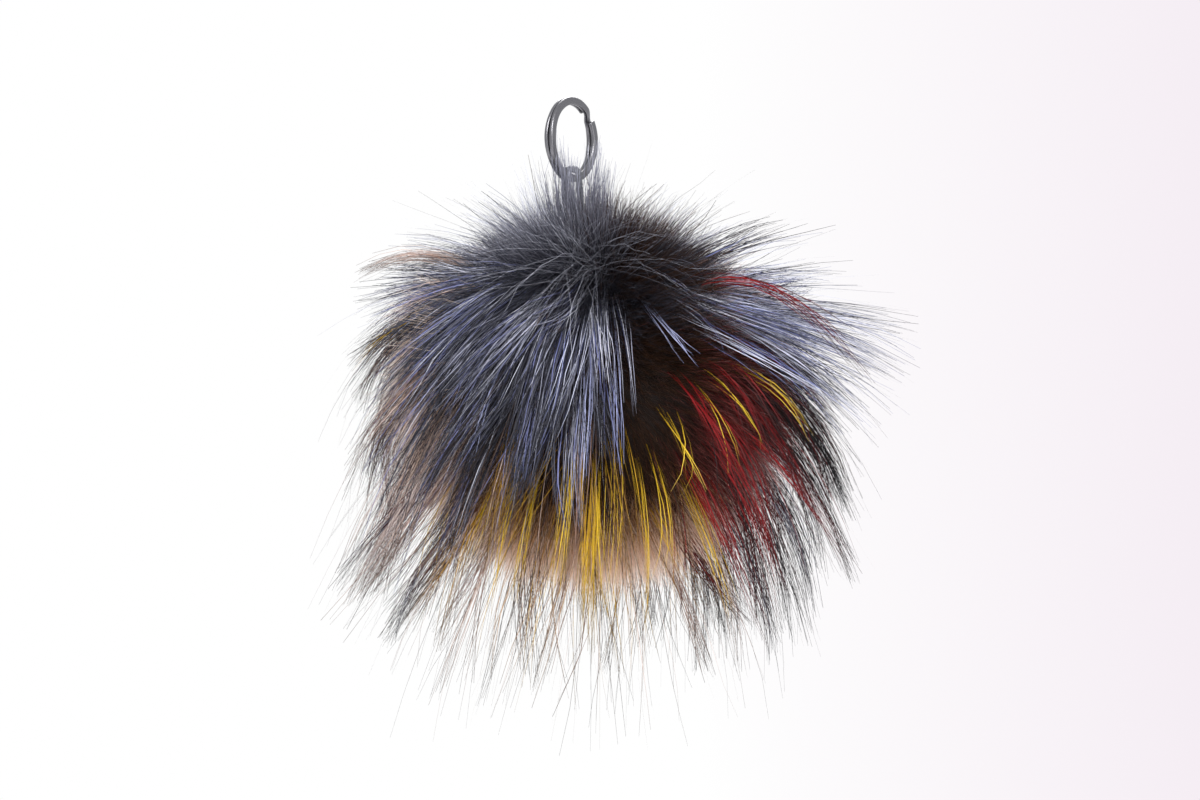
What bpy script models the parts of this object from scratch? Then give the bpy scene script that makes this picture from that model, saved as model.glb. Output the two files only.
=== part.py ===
"""A long-haired fur pompom charm that hangs by a split ring and a cord loop.

Metres, +Z up. The origin is the top of the ring, which the charm hangs from, and the side that shows
faces -Y. The ring is a two-turn coil of wire, the loop is a bent cord, and the fur is a ball of pelt
whose locks are drawn out of its faces along the way the fur lies there.
"""

import math

import bmesh
import bpy
from mathutils import Vector

MM = 0.001
CLEARANCE = 0.3 * MM
DOWN = Vector((0, 0, -1))

# Split ring: two turns of flat wire, which part a little at each side
RING_OUTER = 25 * MM
WIRE_WIDE = 2.3 * MM
WIRE_THICK = 1.15 * MM
WIRE_EDGE = 0.3 * MM
RING_TURN = math.radians(57.5)
STATIONS = 84
PITCH_CLOSED = 1.2 * MM
PITCH_SPRUNG = 1.75 * MM
CROSSING = math.radians(22)
CROSSING_AT = math.radians(42)
RING_RADIUS = (RING_OUTER - WIRE_WIDE) / 2
RING_CENTRE = Vector((0, 0, -RING_OUTER / 2))
RING_ACROSS = Vector((math.cos(RING_TURN), math.sin(RING_TURN), 0))
RING_AXIS = Vector((math.sin(RING_TURN), -math.cos(RING_TURN), 0))

# Pelt: a ball gathered at the loop's foot
BALL_RADIUS = 36 * MM
BALL_CENTRE = Vector((6, 0, -85)) * MM
BALL_SUBDIVISIONS = 3
FOOT_ACROSS = 2 * MM

# Cord loop: over the ring's lowest point, and down to the pelt
CORD = 2.1 * MM
CORD_SIDES = 8
ARCH_STEPS = 12
LEG_STEPS = 4
LEG_APART = 5.2 * MM
ARCH_CLEARANCE = 0.4 * MM
ARCH_HALF = PITCH_CLOSED / 2 + WIRE_THICK / 2 + ARCH_CLEARANCE + CORD / 2
ARCH_RISE = WIRE_WIDE / 2 + ARCH_CLEARANCE + CORD / 2
ARCH_SQUARE = 0.66

# Locks: none at the loop's foot, and each narrows from its root to its tip
LOCK_SECTIONS = 4
ROOT_SHARE = 0.70
NECK_SHARE = 0.50
TIP_SHARE = 0.10
BARE_BY_FOOT = 0.5
LENGTH_SPREAD = 0.14
SAG_SHARE = 0.30
BLEND = 7.0

# Round the loop's foot the locks stand up, and lean towards a point above it
CROWN = 0.85
CROWN_EDGE = 0.3
CROWN_LEAN = 0.8
CROWN_TOP = 78 * MM

# How the fur lies: the place on the ball, the heading of the hair there, and its length in millimetres.
# Places and headings are (right, away, up).
FUR_COLUMNS = ("place", "heading", "length")
FUR_LIES = (
    ((0.0, 0.4, 0.9), (0.0, 0.3, 1.0), 40),
    ((0.0, -0.4, 0.9), (0.0, -0.3, 1.0), 36),
    ((-0.5, 0.1, 0.9), (-0.4, 0.1, 0.9), 40),
    ((0.5, 0.1, 0.9), (0.5, 0.1, 0.9), 44),
    ((0.0, -0.8, 0.6), (0.0, -0.8, -0.1), 46),
    ((-0.5, -0.5, 0.7), (-0.8, -0.5, 0.1), 46),
    ((0.6, -0.4, 0.7), (0.9, -0.3, 0.4), 50),
    ((-0.9, 0.0, 0.4), (-0.9, 0.0, 0.2), 42),
    ((0.9, 0.0, 0.4), (1.0, 0.0, 0.3), 47),
    ((-0.1, -1.0, 0.1), (-0.1, -0.8, -0.6), 40),
    ((-0.7, -0.7, 0.0), (-0.6, -0.6, -0.4), 44),
    ((0.4, -0.9, 0.1), (0.4, -0.9, -0.2), 22),
    ((0.75, -0.65, 0.0), (0.7, -0.5, -0.4), 40),
    ((-1.0, 0.0, -0.2), (-0.9, 0.0, -0.2), 45),
    ((1.0, 0.0, -0.2), (0.9, 0.0, -0.2), 45),
    ((-0.7, 0.0, -0.7), (-0.6, 0.0, -0.7), 49),
    ((0.7, 0.0, -0.7), (0.6, 0.0, -0.8), 48),
    ((0.0, -0.7, -0.7), (0.0, -0.6, -0.8), 48),
    ((0.0, 0.0, -1.0), (0.0, 0.0, -1.0), 42),
    ((0.0, 0.7, -0.7), (0.0, 0.6, -0.8), 48),
    ((0.0, 1.0, 0.0), (0.0, 0.9, -0.3), 42),
    ((-0.7, 0.7, 0.0), (-0.6, 0.6, -0.3), 43),
    ((0.7, 0.7, 0.0), (0.6, 0.6, -0.3), 43),
    ((-0.4, 0.7, 0.6), (-0.4, 0.8, 0.3), 42),
    ((0.4, 0.7, 0.6), (0.4, 0.8, 0.3), 42),
)


def clear_scene():
    for obj in list(bpy.data.objects):
        bpy.data.objects.remove(obj, do_unlink=True)


def material(name, colour, roughness, metallic=0.0):
    """A plain material with the part's colour."""
    made = bpy.data.materials.new(name)
    made.use_nodes = True
    shader = made.node_tree.nodes["Principled BSDF"]
    shader.inputs["Base Color"].default_value = (*colour, 1)
    shader.inputs["Roughness"].default_value = roughness
    shader.inputs["Metallic"].default_value = metallic
    return made


def add_object(name, shape, finish):
    """Turns a bmesh into a named object, with its faces facing out."""
    bmesh.ops.recalc_face_normals(shape, faces=shape.faces)
    mesh = bpy.data.meshes.new(name)
    shape.to_mesh(mesh)
    shape.free()
    mesh.materials.append(finish)
    made = bpy.data.objects.new(name, mesh)
    bpy.context.collection.objects.link(made)
    return made


def smooth_step(share):
    share = min(max(share, 0.0), 1.0)
    return share * share * (3 - 2 * share)


def wire_path():
    """The middle of the ring's wire: one turn, a crossing at the ring's upper right, and the other turn."""
    start, end = CROSSING / 2, 4 * math.pi - CROSSING / 2
    points = []
    for station in range(STATIONS + 1):
        turned = start + (end - start) * station / STATIONS
        angle = turned + CROSSING_AT
        crossed = smooth_step((turned - 2 * math.pi) / CROSSING + 0.5)
        sprung = abs(math.cos(angle)) ** 9
        pitch = PITCH_CLOSED + (PITCH_SPRUNG - PITCH_CLOSED) * sprung
        spoke = RING_ACROSS * math.cos(angle) + Vector((0, 0, math.sin(angle)))
        points.append(RING_CENTRE + spoke * RING_RADIUS + RING_AXIS * pitch * (crossed - 0.5))
    return points


def loop_path():
    """The middle of the cord: up one leg, over the ring's lowest wires and down the other leg."""
    arch_middle = Vector((0, 0, WIRE_WIDE / 2 - RING_OUTER))
    foot = BALL_CENTRE + foot_direction() * (BALL_RADIUS + CLEARANCE)
    legs = []
    for side in (-1, 1):
        leg = []
        for step in range(LEG_STEPS):
            share = step / LEG_STEPS
            half = LEG_APART / 2 + (ARCH_HALF - LEG_APART / 2) * smooth_step(share)
            leg.append(foot.lerp(arch_middle, share) + RING_AXIS * side * half)
        legs.append(leg)
    arch = []
    for step in range(ARCH_STEPS + 1):
        angle = math.pi * (1 - step / ARCH_STEPS)
        across = math.copysign(abs(math.cos(angle)) ** ARCH_SQUARE, math.cos(angle))
        up = abs(math.sin(angle)) ** ARCH_SQUARE
        arch.append(arch_middle + RING_AXIS * ARCH_HALF * across + Vector((0, 0, ARCH_RISE * up)))
    return legs[0] + arch + legs[1][::-1]


def round_section(radius, sides):
    """Corners of a round section."""
    turns = [2 * math.pi * corner / sides for corner in range(sides)]
    return [(radius * math.cos(turn), radius * math.sin(turn)) for turn in turns]


def flat_section(thick, wide, edge):
    """Corners of a flat section whose edges are cut off."""
    across, up = thick / 2, wide / 2
    quarter = ((across, up - edge), (across - edge, up))
    return [
        *quarter,
        *((-x, y) for x, y in quarter[::-1]),
        *((-x, -y) for x, y in quarter),
        *((x, -y) for x, y in quarter[::-1]),
    ]


def add_bar(shape, path, section, guide):
    """A closed bar along a path. Its section's first axis points towards the guide."""
    rings = []
    for number, point in enumerate(path):
        before = path[max(number - 1, 0)]
        after = path[min(number + 1, len(path) - 1)]
        along = (after - before).normalized()
        first = (guide - along * guide.dot(along)).normalized()
        second = along.cross(first)
        rings.append([shape.verts.new(point + first * across + second * up) for across, up in section])
    sides = len(section)
    for lower, upper in zip(rings, rings[1:]):
        for corner in range(sides):
            following = (corner + 1) % sides
            shape.faces.new((lower[corner], lower[following], upper[following], upper[corner]))
    shape.faces.new(rings[0][::-1])
    shape.faces.new(rings[-1])


def foot_direction():
    """The way from the ball's middle to the point under the ring where the loop meets the pelt."""
    across = FOOT_ACROSS - BALL_CENTRE.x
    return Vector((across, 0, math.sqrt(BALL_RADIUS**2 - across**2))).normalized()


def fur_at(direction):
    """The heading and the length of the fur at a place on the ball, blended from the rows near it."""
    heading = Vector((0, 0, 0))
    length = 0.0
    total = 0.0
    for row in FUR_LIES:
        lies = dict(zip(FUR_COLUMNS, row))
        near = math.exp(BLEND * (Vector(lies["place"]).normalized().dot(direction) - 1))
        heading += Vector(lies["heading"]).normalized() * near
        length += lies["length"] * MM * near
        total += near
    heading.normalize()
    foot = foot_direction()
    upright = (foot * CROWN_TOP - direction * BALL_RADIUS).normalized()
    in_crown = smooth_step((CROWN - direction.angle(foot)) / CROWN_EDGE)
    return heading.lerp(upright, in_crown * CROWN_LEAN).normalized(), length / total


def uneven(number):
    """An even spread of values from -1 to 1, one for each lock, in no visible order."""
    golden = (math.sqrt(5) - 1) / 2
    return 2 * ((number * golden) % 1) - 1


def draw_out(shape, face):
    """Extrudes one face where it lies, and gives back the face that its corners now carry."""
    return bmesh.ops.extrude_discrete_faces(shape, faces=[face])["faces"][0]


def grow_lock(shape, face, number):
    """Draws one face out into a lock that follows the fur, sags and ends in a point."""
    root = face.calc_center_median()
    normal = (root - BALL_CENTRE).normalized()
    heading, length = fur_at(normal)
    length *= 1 + LENGTH_SPREAD * uneven(number)
    corners = [vert.co - root for vert in face.verts]
    face = draw_out(shape, face)
    for vert, corner in zip(face.verts, corners):
        vert.co = root + corner * ROOT_SHARE
    for section in range(1, LOCK_SECTIONS + 1):
        share = section / LOCK_SECTIONS
        face = draw_out(shape, face)
        along = (heading + DOWN * 2 * SAG_SHARE * share).normalized()
        turn = normal.rotation_difference((normal + along).normalized())
        width = NECK_SHARE + (TIP_SHARE - NECK_SHARE) * share
        middle = root + (heading * share + DOWN * SAG_SHARE * share**2) * length
        for vert, corner in zip(face.verts, corners):
            vert.co = middle + turn @ corner * width
    bmesh.ops.pointmerge(shape, verts=list(face.verts), merge_co=middle)


def make_ring():
    shape = bmesh.new()
    add_bar(shape, wire_path(), flat_section(WIRE_THICK, WIRE_WIDE, WIRE_EDGE), RING_AXIS)
    return add_object("split_ring", shape, material("gunmetal", (0.09, 0.09, 0.10), 0.35, 1.0))


def make_loop():
    shape = bmesh.new()
    across = RING_AXIS.cross(Vector((0, 0, 1)))
    add_bar(shape, loop_path(), round_section(CORD / 2, CORD_SIDES), across)
    return add_object("hanging_loop", shape, material("loop_cord", (0.07, 0.075, 0.09), 0.8))


def make_pompom():
    """The ball of pelt, turned so that one corner of its mesh lies under the loop, with its locks."""
    shape = bmesh.new()
    bmesh.ops.create_icosphere(shape, subdivisions=BALL_SUBDIVISIONS, radius=BALL_RADIUS)
    foot = foot_direction()
    upright = Vector((0, 0, 1)).rotation_difference(foot)
    for vert in shape.verts:
        vert.co = BALL_CENTRE + upright @ vert.co
    furred = []
    for face in shape.faces:
        place = (face.calc_center_median() - BALL_CENTRE).normalized()
        if place.angle(foot) > BARE_BY_FOOT:
            furred.append(face)
    for number, face in enumerate(furred):
        grow_lock(shape, face, number)
    return add_object("pompom", shape, material("fur", (0.16, 0.17, 0.22), 0.6))


def main():
    clear_scene()
    make_ring()
    make_loop()
    make_pompom()


main()
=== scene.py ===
"""The looks of a long-haired fur pompom charm: its dyed fur hair by hair, its cord loop and split ring.

The fur grows from the same ball as the solid locks that it replaces, and is combed much as they lie. It has
a soft underfur, long guard hairs gathered in locks and tufts, loose wisps, and fine kinked hairs that run
out of the whorl at the front. Each hair is a narrow ribbon, coloured from root to tip by a tint of its dye.
Two tints of the down also hold painted shade and painted backlight, and the pelt's near black is painted
shade.
"""

import math

import bmesh
import bpy
import numpy as np
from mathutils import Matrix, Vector

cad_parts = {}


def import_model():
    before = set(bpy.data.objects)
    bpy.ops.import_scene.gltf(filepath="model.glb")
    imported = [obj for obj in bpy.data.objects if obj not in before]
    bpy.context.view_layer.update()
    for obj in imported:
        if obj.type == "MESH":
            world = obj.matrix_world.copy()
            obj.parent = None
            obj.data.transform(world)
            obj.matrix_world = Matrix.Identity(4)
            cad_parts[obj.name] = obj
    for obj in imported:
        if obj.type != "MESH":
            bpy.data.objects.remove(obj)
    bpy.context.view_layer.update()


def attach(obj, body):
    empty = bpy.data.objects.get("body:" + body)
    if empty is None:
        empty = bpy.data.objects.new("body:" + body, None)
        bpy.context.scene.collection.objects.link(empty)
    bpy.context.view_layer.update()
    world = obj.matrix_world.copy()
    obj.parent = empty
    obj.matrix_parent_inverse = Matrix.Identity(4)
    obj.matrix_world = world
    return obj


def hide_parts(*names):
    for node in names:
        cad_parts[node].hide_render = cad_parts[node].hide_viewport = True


MM = 0.001
SEED = 11

# Split ring
RING_OUTER = 25 * MM
WIRE_WIDE = 2.3 * MM
WIRE_THICK = 1.15 * MM
WIRE_EDGE = 0.35 * MM
RING_TURN = math.radians(57.5)
STATIONS = 240
PITCH_CLOSED = 1.2 * MM
PITCH_SPRUNG = 1.75 * MM
SPRUNG_POWER = 9
CROSSING = math.radians(22)
CROSSING_AT = math.radians(42)
RING_RADIUS = (RING_OUTER - WIRE_WIDE) / 2
RING_CENTRE = Vector((0, 0, -RING_OUTER / 2))
RING_ACROSS = Vector((math.cos(RING_TURN), math.sin(RING_TURN), 0))
RING_AXIS = Vector((math.sin(RING_TURN), -math.cos(RING_TURN), 0))

# Ball of pelt, and the loop's foot on it
BALL_RADIUS = 36 * MM
BALL_CENTRE = np.array((6.0, 0.0, -85.0)) * MM
FOOT_ACROSS = 2 * MM
PELT_DIVISIONS = 5
MATTED = 13 * MM
MATTED_BELOW = 0.95
MATTED_OVER = 1.1
CLEARANCE = 0.3 * MM

# Cord loop, laid up from twisted strands
CORD = 2.1 * MM
STRANDS = 4
STRAND_SIDES = 8
STRAND_RADIUS = CORD / 4.6
TWIST_LENGTH = 5 * MM
LEG_APART = 5.2 * MM
LEG_STEPS = 24
ARCH_STEPS = 30
ARCH_CLEARANCE = 0.4 * MM
ARCH_HALF = PITCH_CLOSED / 2 + WIRE_THICK / 2 + ARCH_CLEARANCE + CORD / 2
ARCH_RISE = WIRE_WIDE / 2 + ARCH_CLEARANCE + CORD / 2
ARCH_SQUARE = 0.66

# How the fur is combed: a place on the ball, where the middle and the tip of a hair from there lie, how
# thick the guard hairs stand, up to 1, and how far out the down reaches. Places are ways from the ball's
# centre, (right, away, up), and middles, tips and down are millimetres from it.
COMB_COLUMNS = ("place", "middle", "tip", "thick", "down")
COMBED = (
    # the crown, which stands up round the loop
    ((-0.05, 0, 1), (-6, 0, 52), (-10, 0, 76), 0.22, 57),
    ((0.15, -0.05, 1), (5, -2, 52), (8, -3, 72), 0.22, 56),
    ((-0.12, -0.2, 0.97), (-7, -12, 48), (-10, -15, 67), 0.22, 55),
    ((0.02, -0.2, 0.98), (-3, -12, 48), (-2, -15, 67), 0.22, 55),
    ((-0.28, -0.2, 0.94), (-20, -14, 43), (-36, -16, 54), 0.2, 56),
    ((0.16, -0.22, 0.96), (6, -14, 46), (9, -17, 60), 0.25, 57),
    ((-0.3, -0.05, 0.95), (-22, -3, 45), (-42, -4, 62), 0.2, 57),
    ((-0.45, 0, 0.9), (-32, 0, 40), (-60, 0, 48), 0.15, 55),
    ((0.35, 0, 0.93), (20, 0, 46), (32, 0, 60), 0.17, 52),
    ((0.45, 0.05, 0.9), (30, 2, 43), (54, 4, 54), 0.1, 51),
    ((0, 0.4, 0.92), (0, 18, 51), (0, 26, 64), 0.22, 53),
    ((-0.4, 0.3, 0.85), (-28, 14, 44), (-46, 18, 56), 0.18, 55),
    ((0.45, 0.35, 0.83), (31, 16, 43), (44, 20, 53), 0.18, 51),
    # the flap, which falls from the front of the crown over the left half of the front
    ((-0.55, -0.15, 0.82), (-41, -12, 34), (-64, -14, 24), 0.4, 50),
    ((-0.45, -0.3, 0.84), (-37, -28, 26), (-62, -23, -4), 0.9, 49),
    ((-0.33, -0.42, 0.85), (-31, -42, 12), (-55, -36, -24), 1, 49),
    ((-0.22, -0.46, 0.87), (-22, -50, 6), (-38, -47, -36), 1, 50),
    ((-0.1, -0.46, 0.89), (-11, -54, 3), (-18, -57, -36), 1, 51),
    ((0, -0.44, 0.9), (-3, -55, 4), (-2, -60, -28), 1, 52),
    ((0.06, -0.42, 0.9), (1, -55, 6), (4, -60, -20), 0.6, 53),
    ((-0.6, -0.55, 0.55), (-45, -37, 0), (-60, -34, -28), 0.4, 51),
    ((-0.68, -0.65, 0.2), (-44, -44, -10), (-54, -42, -44), 0.16, 55),
    ((-0.35, -0.78, 0.5), (-30, -52, -14), (-42, -50, -44), 0.6, 49),
    ((-0.1, -0.85, 0.5), (-12, -60, -14), (-15, -60, -40), 0.4, 50),
    # the right side above: a fan that sweeps out from a second parting
    ((0.5, -0.15, 0.85), (42, -8, 38), (87, -5, 50), 0.15, 55),
    ((0.6, -0.2, 0.75), (50, -15, 33), (93, -12, 38), 0.25, 54),
    ((0.38, -0.4, 0.84), (31, -37, 26), (58, -36, 21), 0.4, 53),
    ((0.6, -0.35, 0.72), (50, -28, 21), (88, -22, 3), 0.42, 50),
    ((0.55, -0.45, 0.7), (44, -38, 15), (76, -31, -14), 0.9, 49),
    ((0.46, -0.5, 0.73), (38, -44, 11), (62, -42, -8), 0.5, 53),
    ((0.5, -0.62, 0.62), (36, -48, 8), (60, -46, -14), 0.2, 53),
    # the hollow, where only underfur shows
    ((0.16, -0.55, 0.82), (10, -53, 12), (14, -60, -8), 0.03, 55),
    ((0.3, -0.6, 0.74), (18, -50, 18), (26, -58, 0), 0.02, 56),
    ((0.1, -0.8, 0.58), (6, -57, 0), (9, -62, -20), 0.01, 57),
    ((0.4, -0.9, 0.15), (24, -56, 0), (28, -62, -24), 0.004, 59),
    ((0.45, -0.75, 0.5), (26, -52, 8), (34, -58, -10), 0.01, 59),
    ((0.15, -0.97, 0.15), (8, -57, -8), (10, -62, -34), 0.01, 58),
    ((0.55, -0.8, 0.25), (36, -46, 2), (44, -50, -22), 0.01, 58),
    ((0.72, -0.62, 0.28), (47, -38, 6), (62, -40, -18), 0.12, 59),
    # the front below
    ((-0.45, -0.85, -0.1), (-30, -52, -26), (-42, -46, -62), 0.12, 59),
    ((-0.3, -0.88, -0.3), (-19, -54, -36), (-29, -44, -76), 0.05, 59),
    ((-0.05, -0.92, -0.35), (-2, -54, -40), (-5, -42, -83), 0.042, 59),
    ((0.25, -0.88, -0.4), (14, -52, -40), (17, -42, -82), 0.032, 59),
    ((0.45, -0.78, -0.4), (28, -46, -38), (36, -38, -77), 0.035, 59),
    ((0.62, -0.7, -0.2), (40, -42, -26), (54, -34, -62), 0.09, 59),
    ((0.75, -0.6, 0), (51, -34, -16), (66, -27, -51), 0.12, 59),
    ((0.88, -0.4, 0.15), (57, -25, 0), (74, -24, -30), 0.15, 59),
    # the sides
    ((0.95, 0, 0.35), (60, 0, 14), (86, 0, 2), 0.09, 59),
    ((0.9, 0.1, -0.3), (54, 5, -26), (62, 5, -60), 0.07, 59),
    ((-0.85, -0.3, 0.4), (-56, -20, 12), (-80, -18, -14), 0.045, 59),
    ((-0.85, -0.5, 0), (-55, -30, -13), (-77, -26, -45), 0.045, 59),
    ((-0.7, -0.6, -0.35), (-46, -38, -34), (-66, -32, -67), 0.052, 59),
    ((-0.45, -0.6, -0.65), (-31, -36, -50), (-41, -28, -86), 0.048, 59),
    ((-1, 0.1, -0.1), (-59, 5, -10), (-74, 5, -36), 0.03, 59),
    ((-0.9, 0.1, 0.4), (-56, 5, 20), (-77, 5, 8), 0.05, 59),
    # underneath
    ((0, -0.3, -0.95), (0, -20, -65), (0, -14, -98), 0.025, 59),
    ((0.4, -0.3, -0.85), (26, -20, -60), (36, -16, -90), 0.03, 59),
    ((-0.4, -0.1, -0.9), (-27, -8, -60), (-40, -6, -90), 0.03, 59),
    ((0.65, -0.3, -0.7), (43, -20, -45), (55, -16, -80), 0.04, 59),
    ((-0.7, 0, -0.7), (-45, 0, -45), (-62, 0, -72), 0.035, 59),
    # the back, and the sides towards it
    ((0, 0.75, 0.65), (0, 50, 26), (0, 74, 2), 0.6, 56),
    ((-0.5, 0.6, 0.6), (-34, 40, 22), (-49, 52, -2), 0.6, 58),
    ((0.5, 0.6, 0.6), (35, 40, 22), (52, 52, 2), 0.6, 59),
    ((-0.75, 0.65, 0.1), (-44, 41, 0), (-54, 50, -30), 0.2, 59),
    ((-0.9, 0.45, 0.1), (-54, 28, 0), (-66, 32, -32), 0.11, 59),
    ((-0.97, 0.2, 0.25), (-57, 12, 10), (-74, 14, -12), 0.09, 59),
    ((-1, -0.1, 0.1), (-57, -6, -2), (-62, -8, -28), 0.08, 59),
    ((-0.98, 0.05, 0.25), (-58, 2, 10), (-58, 2, -16), 0.14, 59),
    ((-1, 0.12, -0.15), (-58, 7, -17), (-52, 8, -42), 0.12, 59),
    ((-0.95, 0.25, -0.25), (-55, 16, -18), (-69, 18, -46), 0.08, 59),
    ((0.97, 0.2, 0), (59, 12, -6), (71, 12, -34), 0.16, 59),
    ((-0.75, 0.4, 0.55), (-46, 25, 24), (-64, 32, 4), 0.25, 57),
    ((-0.85, 0.35, -0.4), (-52, 22, -30), (-61, 24, -60), 0.09, 59),
    ((0.9, 0.45, 0.1), (55, 28, 0), (68, 32, -28), 0.18, 59),
    ((0.75, 0.4, 0.5), (48, 25, 20), (64, 32, -2), 0.22, 57),
    ((0.85, 0.35, -0.4), (53, 22, -30), (63, 24, -62), 0.12, 59),
    ((0.75, 0.65, 0.1), (45, 42, 0), (58, 50, -30), 0.25, 59),
    ((0, 0.98, 0.1), (0, 60, -6), (0, 70, -38), 0.25, 59),
    ((-0.6, 0.7, -0.4), (-36, 44, -32), (-46, 48, -66), 0.1, 59),
    ((0.6, 0.7, -0.4), (37, 44, -32), (48, 48, -66), 0.1, 59),
    ((0, 0.9, -0.4), (0, 54, -34), (0, 56, -70), 0.08, 59),
    ((0, 0.5, -0.85), (0, 32, -56), (0, 34, -88), 0.05, 59),
    ((0.45, 0.5, -0.75), (29, 32, -50), (37, 34, -80), 0.05, 59),
    ((-0.45, 0.5, -0.75), (-29, 32, -50), (-37, 34, -80), 0.05, 59),
)
COMB_BLEND = 32.0
THICK_BLEND = 70.0

# Tints of each dye, most of them from its darkest hairs to its palest: the share of the hairs that have
# it, and the colour, in thousandths, at the root, a third up, three quarters up and at the tip. Two down
# tints also hold painted light: the cocoa one's dark tips are partly painted shade, and the blush one is
# lightened as painted backlight.
TINT_COLUMNS = ("share", "root", "low", "high", "tip")
TINT_STOPS = (0.0, 0.35, 0.75, 1.0)
TINT_UNIT = 0.001
TINTS = {
    "slate": (
        (0.41, (10, 10, 14), (20, 20, 27), (34, 34, 44), (26, 26, 32)),
        (0.18, (16, 16, 22), (60, 62, 82), (120, 124, 160), (50, 50, 65)),
        (0.11, (20, 22, 40), (70, 80, 180), (200, 215, 420), (80, 95, 200)),
        (0.17, (50, 50, 62), (280, 290, 350), (410, 420, 530), (120, 125, 170)),
        (0.13, (120, 120, 140), (580, 590, 680), (680, 690, 790), (260, 265, 320)),
    ),
    "dusk": (
        (0.38, (8, 7, 8), (13, 12, 16), (22, 21, 28), (20, 20, 25)),
        (0.16, (12, 12, 16), (40, 41, 56), (130, 132, 180), (80, 80, 100)),
        (0.09, (20, 22, 40), (60, 72, 180), (220, 250, 500), (120, 130, 240)),
        (0.39, (40, 40, 50), (300, 310, 390), (620, 640, 780), (280, 290, 360)),
    ),
    "sky": (
        (0.5, (20, 22, 40), (120, 135, 260), (260, 290, 540), (120, 135, 270)),
        (0.5, (40, 45, 70), (240, 260, 400), (420, 450, 680), (180, 200, 340)),
    ),
    "smoke": (
        (0.25, (14, 14, 18), (35, 36, 43), (70, 72, 85), (100, 100, 120)),
        (0.3, (40, 42, 52), (140, 142, 170), (280, 285, 340), (320, 325, 370)),
        (0.45, (120, 122, 140), (420, 425, 490), (660, 670, 760), (600, 610, 680)),
    ),
    "umber": (
        (0.6, (8, 6, 6), (14, 10, 9), (22, 15, 13), (25, 18, 16)),
        (0.28, (12, 9, 8), (30, 20, 16), (70, 45, 36), (80, 55, 45)),
        (0.12, (30, 25, 25), (120, 90, 80), (260, 200, 180), (200, 150, 130)),
    ),
    "blond": (
        (0.36, (20, 12, 10), (45, 26, 21), (55, 33, 28), (16, 12, 12)),
        (0.3, (50, 30, 22), (240, 145, 110), (260, 165, 130), (25, 20, 18)),
        (0.24, (100, 70, 55), (500, 360, 300), (600, 460, 400), (100, 80, 70)),
        (0.12, (60, 45, 40), (340, 280, 260), (560, 470, 440), (100, 90, 90)),
    ),
    "mustard": (
        (0.3, (10, 6, 4), (22, 13, 9), (28, 18, 14), (16, 12, 11)),
        (0.26, (20, 11, 6), (120, 55, 14), (130, 66, 28), (20, 14, 12)),
        (0.24, (30, 16, 4), (520, 280, 10), (420, 230, 30), (40, 22, 13)),
        (0.2, (50, 28, 4), (700, 430, 14), (720, 460, 40), (100, 60, 20)),
    ),
    "gold": (
        (0.6, (30, 16, 4), (360, 190, 8), (500, 290, 18), (160, 90, 20)),
        (0.4, (50, 28, 4), (540, 330, 12), (740, 500, 40), (400, 260, 60)),
    ),
    "crimson": (
        (0.44, (8, 3, 3), (20, 6, 6), (18, 9, 10), (10, 9, 9)),
        (0.26, (20, 3, 3), (120, 7, 8), (70, 10, 10), (12, 10, 10)),
        (0.3, (30, 4, 4), (280, 9, 11), (220, 11, 13), (20, 10, 10)),
    ),
    "jet": (
        (0.62, (6, 4, 4), (12, 8, 8), (12, 10, 11), (8, 8, 9)),
        (0.25, (20, 4, 4), (140, 10, 12), (30, 11, 12), (10, 9, 10)),
        (0.13, (30, 30, 40), (140, 150, 200), (160, 160, 200), (30, 30, 35)),
    ),
    "straw": (
        (0.14, (20, 14, 10), (50, 33, 22), (50, 36, 28), (20, 16, 14)),
        (0.56, (60, 35, 22), (360, 220, 120), (500, 340, 220), (60, 42, 34)),
        (0.3, (80, 45, 10), (600, 360, 30), (560, 360, 100), (70, 45, 30)),
    ),
    # dark-brown down, whose dark tips are partly painted shade, most of all in the hollow
    "cocoa_down": (
        (0.6, (8, 4, 3), (14, 7, 4), (26, 12, 6), (40, 18, 9)),
        (0.4, (10, 5, 3), (20, 9, 5), (40, 17, 8), (62, 26, 12)),
    ),
    "caramel_down": (
        (0.5, (30, 14, 6), (80, 34, 12), (220, 95, 34), (440, 220, 100)),
        (0.5, (40, 18, 8), (130, 55, 18), (360, 170, 65), (660, 380, 200)),
    ),
    # pink-blond down, whose roots and tips are also lightened as painted backlight through thin hairs at
    # the rim
    "blush_down": (
        (0.4, (180, 90, 50), (520, 310, 200), (860, 610, 460), (940, 760, 640)),
        (0.6, (250, 140, 90), (640, 410, 290), (920, 710, 560), (960, 820, 720)),
    ),
    "claret_down": (
        (0.7, (8, 3, 3), (20, 5, 5), (50, 10, 10), (120, 30, 28)),
        (0.3, (12, 4, 4), (40, 8, 8), (120, 20, 20), (300, 100, 90)),
    ),
    "rose_down": (
        (0.5, (10, 5, 5), (50, 22, 20), (220, 90, 80), (550, 340, 310)),
        (0.5, (12, 6, 6), (100, 40, 35), (400, 200, 180), (750, 560, 530)),
    ),
    "slate_down": (
        (0.6, (8, 8, 11), (14, 14, 19), (24, 24, 33), (36, 37, 50)),
        (0.4, (10, 10, 13), (22, 22, 30), (45, 47, 63), (80, 83, 105)),
    ),
    "smoke_down": (
        (0.5, (10, 10, 14), (25, 25, 33), (70, 70, 90), (160, 160, 200)),
        (0.5, (16, 16, 21), (60, 60, 75), (160, 160, 200), (360, 365, 430)),
    ),
}

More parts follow.
